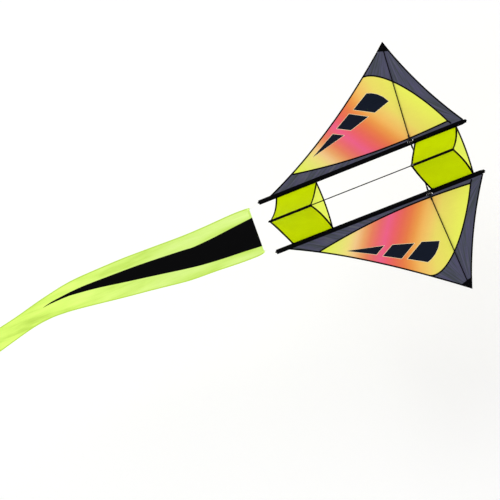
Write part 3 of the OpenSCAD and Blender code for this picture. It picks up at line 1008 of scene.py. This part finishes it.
def wing_prints(side):
    """The dark printed shapes, each over a slightly larger pale one."""
    s = SIDES[side]
    cloth = Cloth()
    for patch in PATCHES:
        corners = np.array(patch) + (0, PATCH_SHIFT[side])
        for loop, rise, slot in ((grown(corners, PATCH_EDGE), 0.24 * MM, 1),
                                 (corners, 0.32 * MM, 0)):
            outline = np.vstack([resample(np.vstack([a, b]), 6 * MM)[:-1]
                                 for a, b in zip(loop, np.roll(loop, -1, axis=0))])
            points, faces = fill(outline)
            solid = raised(points, sail_height, SAIL_THICK / 2 + rise)
            cloth.add_sheet(solid, faces, points, PRINT_THICK, s, slot)
    piece = cloth.make("wing_print_shapes_" + side, ["patch", "patch_edge"])
    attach(piece, "wing_" + side)


POCKET_LINE = [(-0.040, 0.5895), (0.060, 0.5595)]


def pocket_height(x, y):
    """Height of the top of the tip pocket, which humps over the end of the spar."""
    off = x - (y - ROD_Y) * SPAR_SLOPE
    hump = np.cos(np.clip(off / (9 * MM), -1, 1) * math.pi / 2) ** 2
    along = ease((HALF_SPAN - 8 * MM - y) / (26 * MM))
    low = sail_height(x, y) + 0.9 * MM
    return low + (ROD_Z + ROD_R + 0.5 * MM - low) * hump * along


def tip_pocket(side):
    """Heavy cloth over and under the tip of the wing, where the spar ends."""
    s = SIDES[side]
    front, back = leading(-0.3 * MM, 160), trailing(side, -0.3 * MM, 200)
    a, b = (np.array(p) for p in POCKET_LINE)

    def beyond(line):
        return line[((b - a)[0] * (line - a)[:, 1] - (b - a)[1] * (line - a)[:, 0]) > 0]

    front, back = beyond(front), beyond(back)
    base = resample(np.vstack([back[-1], front[0]]), 3 * MM)[1:-1]
    loop = np.vstack([resample(front, 3 * MM), resample(back, 3 * MM)[1:], base])
    points, faces = fill(loop, spacing=3.2 * MM)
    cloth = Cloth()
    cloth.add_sheet(raised(points, pocket_height), faces, points, 0.5 * MM, s)
    cloth.add_sheet(raised(points, sail_height, -0.45 * MM), faces, points, 0.4 * MM, s)
    for line in (front, back):
        rail = line + seam_sideways(line) * 2.2 * MM
        stitch_line(cloth, rail, pocket_height, 0.1 * MM, s)
    piece = cloth.make("tip_pocket_cloth_" + side, ["pocket", "thread"])
    stand_for(piece, "tip_pocket_" + side, "wing_" + side)


for wing in SIDES:
    sail_panels(wing)
    wing_edges(wing)
    wing_seams(wing)
    wing_prints(wing)
    tip_pocket(wing)

# ---- sleeves -------------------------------------------------------------------

SLOT_HALF = 0.015
SLEEVE_THICK = 0.5 * MM
SLOT_OUT = 4.5 * MM
NARROWING = 0.28
STITCH_SHARE = 0.86
SLOT_HIGH = 0.7 * MM


def sleeve_ring(x, half, height, count=15):
    """Cross-section of a sleeve: flat below, arched over the rod, with slight puckers."""
    t = np.linspace(-1, 1, count)
    pucker = 0.25 * MM * math.sin(x * 95) + 0.2 * MM * math.sin(x * 223 + 1)
    top = 0.6 * MM + (height - 0.9 * MM + pucker) * np.cos(t * math.pi / 2) ** 2
    upper = np.column_stack([t * half, top])
    lower_t = np.linspace(1, -1, 7)[1:-1]
    lower = np.column_stack([lower_t * half, np.full(5, 0.05 * MM)])
    ends = (np.array([[half, 0.1 * MM]]), np.array([[-half, 0.1 * MM]]))
    return np.vstack([upper, ends[0], lower, ends[1]])


def sleeve(side):
    """The cloth tube round a longeron, open at the spar on its upper and outer side."""
    s = SIDES[side]
    half = (SLEEVE_OUT - SLEEVE_IN) / 2
    low, high = SLEEVE_LOW.x - SPAR_X, SLEEVE_HIGH.x - SPAR_X
    xs = np.unique(np.concatenate([
        np.linspace(low, -SLOT_HALF, 125), np.linspace(-SLOT_HALF, SLOT_HALF, 5),
        np.linspace(SLOT_HALF, high, 44)]))
    rings = np.array([sleeve_ring(x, half, SLEEVE_H) for x in xs])
    rings[..., 0] *= 1 - NARROWING * ease((xs[:, None] - CORNER_FRONT[0] + 0.012) / 0.016)
    columns = rings.shape[1]
    grid = swept(xs[:, None], ROD_Y + rings[..., 0], rings[..., 1])
    lays = spread(xs, run_of(rings[0]))
    faces = []
    for r in range(len(xs) - 1):
        in_slot = abs((xs[r] + xs[r + 1]) / 2) < SLOT_HALF
        for c in range(columns):
            d = (c + 1) % columns
            high_up = max(rings[r, c, 1], rings[r, d, 1]) > SLOT_HIGH
            far_out = max(rings[r, c, 0], rings[r, d, 0]) > SLOT_OUT
            if in_slot and (high_up or far_out):
                continue
            faces.append((r * columns + c, (r + 1) * columns + c,
                          (r + 1) * columns + d, r * columns + d))
    used, faces = used_only(flip(faces, -s))
    cloth = Cloth()
    cloth.add_thick(mirrored(grid.reshape(-1, 3), s)[used], faces, lays.reshape(-1, 2)[used],
                    SLEEVE_THICK)
    lean = math.cos(STITCH_SHARE * math.pi / 2)
    z = 0.6 * MM + (SLEEVE_H - 0.9 * MM) * lean ** 2 + 0.1 * MM
    for a, b in ((low + 3 * MM, -SLOT_HALF - 2 * MM), (SLOT_HALF + 2 * MM, high - 3 * MM)):
        for off in (-1, 1):
            x = np.linspace(a, b, 60)
            y = np.full(60, ROD_Y + off * half * STITCH_SHARE)
            line = mirrored(np.column_stack([x, y, np.full(60, z)]), s)
            cloth.add_stitches(line, (0, -off * s * 0.5, 1))
    piece = cloth.make("longeron_sleeve_" + side, ["sleeve", "thread"])
    stand_for(piece, "sleeve_" + side, "frame")


for wing in SIDES:
    sleeve(wing)

# ---- cells ---------------------------------------------------------------------

FOOT_Z = 0.9 * MM
TOP_Y = 4.4 * MM
# How far the free edges stand forward of the plain cut, for the rear and for the front edge:
# at its ends and in its middle for the back panel; at its middle and at the keel for a side panel.
CELLS = {
    "front": {"back": ((8 * MM, 8 * MM), (3 * MM, 8 * MM)),
              "left": ((-5 * MM, 0), (5 * MM, 4 * MM)),
              "right": ((-6.5 * MM, 0), (4 * MM, 3 * MM))},
    "rear": {"back": ((0, 0), (1 * MM, 6.5 * MM)),
             "left": ((4 * MM, 0), (-2 * MM, 0)),
             "right": ((-3 * MM, -6 * MM), (4 * MM, 1 * MM))}}
FOOT_FORWARD = 3 * MM
BELLY = 8.5 * MM
SIDE_TAPE_W = 9 * MM
SIDE_STITCH_IN = 6.6 * MM
KEEL_SLEEVE_MORE = {"front": 0.0, "rear": 5 * MM}


def cell_span(cell):
    low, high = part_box("back_binding_" + cell)
    return low.x - SPAR_X, high.x - SPAR_X


def back_panel(cell):
    """The panel between the longerons, and the tape on its two free edges."""
    x0, x1 = cell_span(cell)
    wide = SLEEVE_IN
    xs, ys = np.linspace(0, 1, 36), np.linspace(-1, 1, 38)
    u, v = np.meshgrid(xs, ys, indexing="ij")

    def along_at(share, across):
        rear, front = (end + (mid - end) * (1 - across * across)
                       for end, mid in CELLS[cell]["back"])
        return x0 + rear + (x1 - x0 + front - rear) * share

    x = along_at(u, v)
    y = v * wide
    lift = 2.4 * MM * np.sin(math.pi * u) * (1 - v * v)
    z = 0.75 * MM + lift + 0.3 * MM * np.sin(x * 90 + y * 40) * (1 - v * v)
    cloth = Cloth()
    cloth.add_grid(np.stack([x, y, z], axis=-1), np.stack([x, y], axis=-1), SAIL_THICK, up=UP)
    piece = cloth.make("back_panel_cloth_" + cell, ["pale"])
    stand_for(piece, "back_panel_" + cell, "frame")

    def level(px, py):
        return np.full(len(px), 0.95 * MM)

    tapes = Cloth()
    for at, inward in ((0.0, 1), (1.0, -1)):
        line = np.column_stack([along_at(at, ys), ys * wide])
        sideways = np.tile([float(inward), 0.0], (len(ys), 1))
        tape_strip(tapes, line, sideways, folded_profile(), level)
        stitch_line(tapes, line + sideways * EDGE_STITCH_IN, level, EDGE_STITCH_RISE)
    piece = tapes.make("back_panel_tape_" + cell, ["tape", "thread"])
    stand_for(piece, "back_binding_" + cell, "frame")


def side_point(cell, side, t, u, phase):
    """A point of a side panel, given on the left: t up the panel, u along the cell."""
    x0, x1 = cell_span(cell)
    rear, front = (mid * np.sin(math.pi * t) + top * t * t for mid, top in CELLS[cell][side])
    x = x0 + rear + (x1 - x0 + front - rear) * u
    x = x + FOOT_FORWARD * u * (1 - t) - 1.5 * MM * u * t
    foot = np.array([SLEEVE_IN - 0.3 * MM, FOOT_Z])
    top = np.array([TOP_Y, KEEL_LOW])
    inward = unit([-(top - foot)[1], (top - foot)[0]])
    inward = inward if inward[0] < 0 else -inward
    belly = BELLY * np.sin(math.pi * t) ** 0.9 * (0.80 + 0.35 * np.sin(math.pi * u))
    folds = 0.8 * MM * np.sin(x * 60 + t * 5 + phase) * np.sin(math.pi * t)
    y = foot[0] + (top[0] - foot[0]) * t + inward[0] * (belly + folds)
    z = foot[1] + (top[1] - foot[1]) * t + inward[1] * (belly + folds)
    return np.stack([x, y, z], axis=-1)


def squashes(piece):
    """Gives the piece a mesh of its own."""
    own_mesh(piece)


def side_panel(cell, side, phase):
    """The panel from a longeron up to the keel, and the tape on its two free edges."""
    s = SIDES[side]
    x0, x1 = cell_span(cell)
    rail = side_point(cell, side, np.linspace(0, 1, 38), np.full(38, 0.5), phase)
    length = length_of(rail)
    u, t = np.meshgrid(np.linspace(0, 1, 34), np.linspace(0, 1, 38), indexing="ij")
    grid = mirrored(side_point(cell, side, t, u, phase), s)
    lays = np.stack([grid[..., 0], t * length], axis=-1)
    if s < 0:
        grid, lays = grid[:, ::-1], lays[:, ::-1]
    cloth = Cloth()
    cloth.add_grid(grid, lays, SAIL_THICK)
    piece = cloth.make(f"side_panel_cloth_{cell}_{side}", ["lime"])
    stand_for(piece, f"side_panel_{cell}_{side}", "frame")
    squashes(piece)

    t = np.linspace(0, 1, 44)

    def rail_at(at):
        """The line up the panel at a share of its length."""
        return side_point(cell, side, t, np.full(len(t), at), phase)

    tapes = Cloth()
    for at, inward in ((0.0, 1), (1.0, -1)):
        grid, lays = [], []
        way = np.gradient(rail_at(at), axis=0)
        outward = np.column_stack([np.zeros(len(t)), way[:, 2], -way[:, 1]])
        outward /= np.linalg.norm(outward, axis=1, keepdims=True)
        for off, rise in folded_profile(SIDE_TAPE_W):
            grid.append(rail_at(at + inward * off / (x1 - x0)) + outward * rise)
            lays.append(np.column_stack([t * length, np.full(len(t), off)]))
        grid, lays = np.stack(grid, axis=1), np.stack(lays, axis=1)
        if inward * s < 0:
            grid, lays = grid[:, ::-1], lays[:, ::-1]
        tapes.add_grid(mirrored(grid, s), lays, TAPE_THICK)
        row = rail_at(at + inward * SIDE_STITCH_IN / (x1 - x0)) + outward * 0.85 * MM
        tapes.add_stitches(mirrored(row, s), mirrored(outward, s))
    piece = tapes.make(f"side_panel_tape_{cell}_{side}", ["tape", "thread"])
    stand_for(piece, f"side_binding_{cell}_{side}", "frame")
    squashes(piece)


# Cross-section of a keel sleeve in mm, round the rod.
KEEL_RING = [(-5.0, -4.8), (-2.5, -5.0), (2.5, -5.0), (5.0, -4.8), (5.1, -3.0), (4.7, -0.6),
             (4.0, 1.6), (2.9, 3.2), (1.4, 4.1), (0.0, 4.3), (-1.4, 4.1), (-2.9, 3.2), (-4.0, 1.6),
             (-4.7, -0.6), (-5.1, -3.0)]


def keel_sleeve(cell):
    """The cloth tube round the keel rod, where the side panels meet."""
    low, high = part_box("keel_sleeve_" + cell)
    xs = np.linspace(low.x - SPAR_X - KEEL_SLEEVE_MORE[cell], high.x - SPAR_X - 1.5 * MM, 40)
    ring = np.array(KEEL_RING) * MM * (1.1, 1.0)
    wave = 1 + 0.02 * np.sin(xs * 110)[:, None]
    grid = swept(xs[:, None], ring[:, 0] * wave,
                 KEEL_Z + ring[:, 1] * np.where(ring[:, 1] > 0, wave, 1))
    cloth = Cloth()
    cloth.add_grid(grid, spread(xs, run_of(ring)), SLEEVE_THICK, loop=True)
    for s in (-1, 1):
        line = np.column_stack([xs, np.full(40, s * 5.65 * MM), np.full(40, KEEL_Z - 3.4 * MM)])
        cloth.add_stitches(line, (0, s, 0.1))
    piece = cloth.make("keel_sleeve_cloth_" + cell, ["sleeve", "thread"])
    stand_for(piece, "keel_sleeve_" + cell, "keel")


for number, name in enumerate(CELLS):
    back_panel(name)
    keel_sleeve(name)
    for wing in SIDES:
        side_panel(name, wing, number * 2.1 + SIDES[wing])

# ---- tail ----------------------------------------------------------------------

TAIL_LEFT = [(-0.853, 0.120), (-0.930, 0.122), (-1.100, 0.115), (-1.230, 0.112), (-1.400, 0.116),
             (-1.550, 0.118), (-1.720, 0.114), (-1.850, 0.105), (-1.995, 0.080), (-2.140, 0.047),
             (-2.250, 0.025), (-2.400, -0.004), (-2.500, -0.024)]
TAIL_RIGHT = [(-0.853, -0.106), (-0.880, -0.112), (-0.960, -0.113), (-1.100, -0.107),
              (-1.230, -0.103), (-1.300, -0.097), (-1.450, -0.079), (-1.600, -0.062),
              (-1.800, -0.037), (-1.900, -0.028), (-1.990, -0.027), (-2.090, -0.039),
              (-2.240, -0.074), (-2.400, -0.112), (-2.500, -0.134)]
WEDGE_LEFT = [(-0.853, 0.071), (-1.000, 0.056), (-1.165, 0.043), (-1.230, 0.046), (-1.390, 0.055),
              (-1.560, 0.061), (-1.735, 0.063), (-1.830, 0.060), (-1.920, 0.052), (-1.965, 0.046),
              (-2.008, 0.036)]
WEDGE_RIGHT = [(-0.853, -0.073), (-0.960, -0.067), (-1.100, -0.059), (-1.210, -0.048),
               (-1.370, -0.024), (-1.540, 0.002), (-1.700, 0.027), (-1.830, 0.041),
               (-1.880, 0.043), (-1.960, 0.040), (-2.008, 0.036)]
TAIL_CUTS = [-1.190, -1.520, -1.850, -2.180]
TAIL_LENGTHS = len(TAIL_CUTS) + 1
TAIL_THICK = 0.35 * MM
WEDGE_THICK = 0.3 * MM
WEDGE_RISE = 0.42 * MM
# Cross-sections of the hems, in mm: offset from the edge inward, and height over the cloth.
SIDE_HEM = [(0.2, 0.25), (0.8, 0.55), (2.6, 0.55), (4.4, 0.50), (5.0, 0.25)]
END_HEM = [(0.0, 0.30), (1.0, 0.6), (9.0, 0.6), (9.8, 0.28)]


def edge_at(points):
    """A smooth edge of the tail: how far out it lies at a place along the tail."""
    line = smooth_line(points, 12)[::-1]
    return lambda x: np.interp(x, line[:, 0], line[:, 1])


TAIL_EDGES = edge_at(TAIL_LEFT), edge_at(TAIL_RIGHT)
WEDGE_EDGES = edge_at(WEDGE_LEFT), edge_at(WEDGE_RIGHT)


def tail_height(x, y):
    """Height of the tail cloth: long low waves that cross it on the slant, and fine creases."""
    back = -(np.asarray(x, float) - TAIL_START_X)
    start = ease(back / 0.12)
    left, right = TAIL_EDGES[0](x), TAIL_EDGES[1](x)
    t = (y - right) / np.maximum(left - right, 1e-6)
    wave = 3.6 * MM * (1 + np.sin(back * 11.5 + 2.2 * t + 0.6))
    cross = 2.0 * MM * (1 + np.sin(back * 23.0 - 3.0 * t + 1.5))
    crease = (0.9 * MM * (1 + np.sin(t * 21 + 2.2 * np.sin(back * 5.0)))
              * (0.4 + 0.6 * np.sin(back * 3.1) ** 2))
    return 0.75 * MM + start * (wave + cross + crease)


def tail_rows(low, high):
    return np.linspace(low, high, max(2, int(round((high - low) / (7.5 * MM))) + 1))


def tail_sheet(cloth, edges, xs, columns, rise, thick):
    """Cloth between two edges of the tail, a rise above its height; gives the flat area."""
    t = np.linspace(0, 1, columns)
    left, right = edges[0](xs), edges[1](xs)
    y = right[:, None] + (left - right)[:, None] * t[None, :]
    x = np.repeat(xs[:, None], columns, axis=1)
    grid = np.stack([x, y, tail_height(x, y) + rise], axis=-1)
    cloth.add_grid(grid, np.stack([x, y], axis=-1), thick, up=UP)
    return float(((left - right)[1:] + (left - right)[:-1]).sum() / 2 * (xs[1] - xs[0]))


def end_hem(cloth, front):
    """Fold and stitching along the front or the rear edge; at the front beside the wedge only."""
    edge_x = TAIL_START_X if front else TAIL_END_X
    way = -1.0 if front else 1.0
    right, left = TAIL_EDGES[1](edge_x), TAIL_EDGES[0](edge_x)
    parts = [(right, left)]
    if front:
        parts = [(right, WEDGE_EDGES[1](edge_x) - 1 * MM), (WEDGE_EDGES[0](edge_x) + 1 * MM, left)]
    for low, high in parts:
        y = np.linspace(low, high, 30)
        line = np.column_stack([np.full(30, edge_x), y])
        tape_strip(cloth, line, np.tile([way, 0.0], (30, 1)), in_mm(END_HEM), tail_height)
        stitch_line(cloth, line + np.array([way * 8.2 * MM, 0.0]), tail_height, 0.62 * MM)


def tail_pieces():
    """The tail, cut halfway between its hinges, so that each piece crosses one hinge."""
    stops = [TAIL_START_X, *TAIL_CUTS, TAIL_END_X]
    halves = [(a + b) / 2 for a, b in zip(stops, stops[1:])]
    ends = [TAIL_START_X, *halves, TAIL_END_X]
    for i, (high, low) in enumerate(zip(ends, ends[1:])):
        xs = tail_rows(low, high)
        cloth = Cloth()
        area = tail_sheet(cloth, TAIL_EDGES, xs, 40, 0.0, TAIL_THICK)
        for edge, way in ((0, -1), (1, 1)):
            line = np.column_stack([xs, TAIL_EDGES[edge](xs)])
            sideways = np.tile([0.0, float(way)], (len(xs), 1))
            tape_strip(cloth, line, sideways, in_mm(SIDE_HEM), tail_height, 0.2 * MM, slot=2)
            stitch_line(cloth, line + sideways * 3.8 * MM, tail_height, 0.55 * MM)
        if i in (0, len(ends) - 2):
            end_hem(cloth, i == 0)
        piece = cloth.make(f"tail_streamer_{i + 1}", ["tail", "lime_thread", "tail_hem"])
        if i < TAIL_LENGTHS:
            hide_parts(f"tail_cloth_{i + 1}")
        wide = float((TAIL_EDGES[0](xs) - TAIL_EDGES[1](xs)).max())
        tail_rides(piece, i)
        wedge_from = max(low, WEDGE_LEFT[-1][0])
        if wedge_from >= high:
            continue
        rows = tail_rows(wedge_from, high)
        cloth = Cloth()
        tail_sheet(cloth, WEDGE_EDGES, rows, 18, WEDGE_RISE, WEDGE_THICK)
        for edge, way in ((0, -1), (1, 1)):
            keep = rows[(WEDGE_EDGES[0](rows) - WEDGE_EDGES[1](rows)) > 6 * MM]
            line = np.column_stack([keep, WEDGE_EDGES[edge](keep) + way * 1.6 * MM])
            stitch_line(cloth, line, tail_height, 0.50 * MM)
        piece = cloth.make(f"tail_wedge_cloth_{i + 1}", ["wedge", "thread"])
        if i < len(TAIL_CUTS):
            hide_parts(f"tail_wedge_{i + 1}")
        tail_rides(piece, i)


def tail_rides(piece, i):
    """The first piece rides on the first length of the tail and one with the index TAIL_LENGTHS on
    the last; the pieces made here stop one index short of that, so the rest have their place baked
    into the mesh.
    """
    if i == 0:
        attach(piece, "tail_1")
    elif i == TAIL_LENGTHS:
        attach(piece, "tail_5")
    else:
        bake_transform(piece)


tail_pieces()

# ---- tabs, knots and small things ------------------------------------------------


def tail_tabs():
    """Webbing loops sewn on the two front corners, folded over a small slot for the line."""
    cloth = Cloth()
    arc = [(2.4 + 1.5 * math.cos(a), 1.9 - math.sin(a))
           for a in np.linspace(-1, 1, 9) * math.pi / 2]
    path = np.array([(-12, 1.5), (-4, 1.55), *arc, (-4, 2.25), (-12, 2.0)]) * MM
    line = path + (TAIL_START_X, 0)
    ys = np.linspace(-4, 4, 9) * MM
    for y in TAB_Y.values():
        grid = swept(line[:, :1], y + ys, line[:, 1:])
        cloth.add_grid(grid, spread(run_of(line), ys), 0.4 * MM)
        for off in (-2.8, 2.8):
            stitch = np.array([(TAIL_START_X - 11 * MM, y + off * MM, 2.2 * MM),
                               (TAIL_START_X - 3 * MM, y + off * MM, 2.4 * MM)])
            cloth.add_stitches(stitch, UP, pitch=2.6 * MM, length=1.9 * MM)
    piece = cloth.make("tail_corner_tabs", ["tail_webbing", "lime_thread"])
    stand_for(piece, "tail_tabs", "tail_1")


KNOT_R = 1.15 * MM
KNOT_TURNS = 3
KNOT_PITCH = 1.25 * MM


def knot(name, at, way, body):
    """A small wound knot: turns of the line round itself, closed by its own core."""
    at, way = np.asarray(at, float), unit(way)
    side = unit(np.cross(way, UP))
    up = np.cross(side, way)
    t = np.linspace(0, 1, KNOT_TURNS * 10 + 1)
    angle = t * KNOT_TURNS * 2 * math.pi
    points = at + way * (t[:, None] - 0.5) * KNOT_TURNS * KNOT_PITCH + KNOT_R * (
        np.cos(angle)[:, None] * side + np.sin(angle)[:, None] * up)
    piece = line_object(name, points, LEADER_R, MATERIALS["line"])
    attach(piece, body)


def leader_knots():
    for side in SIDES:
        route = leader_route(side)
        on_rod = route[0] + (1.0 * MM, 0, 0)
        knot(f"leader_knot_frame_{side}", on_rod, route[1] - route[0], "frame")
        knot(f"leader_knot_tail_{side}", route[-2], route[-1] - route[-2], "tail_1")


def tow_tab():
    """Doubled webbing round the eyelet, with a rounded top and a stitched foot."""
    low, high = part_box("tow_tab")
    centre_x = (low.x + high.x) / 2 - SPAR_X
    radius = (high.x - low.x) / 2
    eye_z = high.z - radius
    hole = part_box("tow_eyelet")
    hole_r = (hole[1].x - hole[0].x) / 2 - 1.7 * MM
    cloth = Cloth()
    rows, columns = 10, 72
    angle = np.linspace(0, 2 * math.pi, columns, endpoint=False)
    grid = np.zeros((rows, columns, 3))
    for r, share in enumerate(np.linspace(0, 1, rows)):
        for c, a in enumerate(angle):
            ca, sa = math.cos(a), math.sin(a)
            out = radius
            if sa < 0:
                foot = (eye_z - low.z) / max(-sa, 1e-6)
                wide = radius / max(abs(ca), 1e-6)
                out = min(foot, wide)
            reach = hole_r + (out - hole_r) * share
            grid[r, c] = (centre_x + reach * ca, 0.85 * MM - 0.35 * MM * share ** 6,
                          eye_z + reach * sa)
    shell = np.concatenate([grid, mirrored(grid, -1)[::-1]], axis=0)
    total = 2 * rows
    faces = [(r * columns + c, r * columns + (c + 1) % columns,
              ((r + 1) % total) * columns + (c + 1) % columns, ((r + 1) % total) * columns + c)
             for r in range(total) for c in range(columns)]
    cloth.add(shell, faces, shell[..., [0, 2]])
    for y in (-0.95 * MM, 0.95 * MM):
        for z in (low.z + 2.0 * MM, low.z + 3.6 * MM):
            line = np.array([(centre_x - radius + 1.5 * MM, y, z),
                             (centre_x + radius - 1.5 * MM, y, z)])
            cloth.add_stitches(line, (0, math.copysign(1, y), 0), pitch=2.4 * MM, length=1.8 * MM)
    piece = cloth.make("tow_tab_webbing", ["webbing", "thread"], crease=35)
    stand_for(piece, "tow_tab", "keel")


tail_tabs()
leader_knots()
tow_tab()

# ---- finish of the CAD pieces that stay ------------------------------------------

KEPT = {
    "rod": ["longeron_left", "longeron_right", "centre_spreader", "keel_rod",
            "wing_spar_left", "wing_spar_right"],
    "fitting": ["inner_fitting_left", "inner_fitting_right",
                "wing_fitting_left", "wing_fitting_right"],
    "vinyl": ["longeron_end_caps", "keel_end_caps"],
    "eyelet": ["tow_eyelet"],
}
for key, names in KEPT.items():
    for name in names:
        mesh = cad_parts[name].data
        mesh.materials.clear()
        mesh.materials.append(MATERIALS[key])

# ---- floor and light --------------------------------------------------------------

# The kite is shown in the air, so the floor is far enough below it for every pose.
FLOOR_Z = -1.6
FLOOR_REACH = 40.0
WORLD_STRENGTH = 0.84
# Name, place, width and power of each lamp.
LAMPS = [("key", (2.5, 3.5, 6.0), 4.0, 125), ("fill", (-3.5, -3.0, 5.0), 5.0, 60)]


def stage():
    mesh = bpy.data.meshes.new("floor")
    corners = ((-1, -1), (1, -1), (1, 1), (-1, 1))
    mesh.from_pydata([(FLOOR_REACH * x, FLOOR_REACH * y, 0) for x, y in corners],
                     [], [(0, 1, 2, 3)])
    s = Shade("floor_paint", 0.9)
    mesh.materials.append(s.colour((0.99, 0.99, 0.99, 1.0)))
    s.shader.inputs["Specular IOR Level"].default_value = 0.1
    floor = show("floor", mesh)
    floor.location.z = FLOOR_Z


def area_light(name, place, size, power):
    data = bpy.data.lights.new(name, "AREA")
    data.shape = "DISK"
    data.size = size
    data.energy = power
    light = show(name, data)
    light.location = place
    light.rotation_euler = (-Vector(place)).to_track_quat("-Z", "Y").to_euler()


def light():
    world = bpy.data.worlds.new("studio")
    world.use_nodes = True
    sky = world.node_tree.nodes["Background"]
    sky.inputs["Color"].default_value = (1.0, 1.0, 1.0, 1.0)
    sky.inputs["Strength"].default_value = WORLD_STRENGTH
    bpy.context.scene.world = world
    for lamp in LAMPS:
        area_light(*lamp)


stage()
light()
bpy.context.scene.view_settings.view_transform = "Standard"
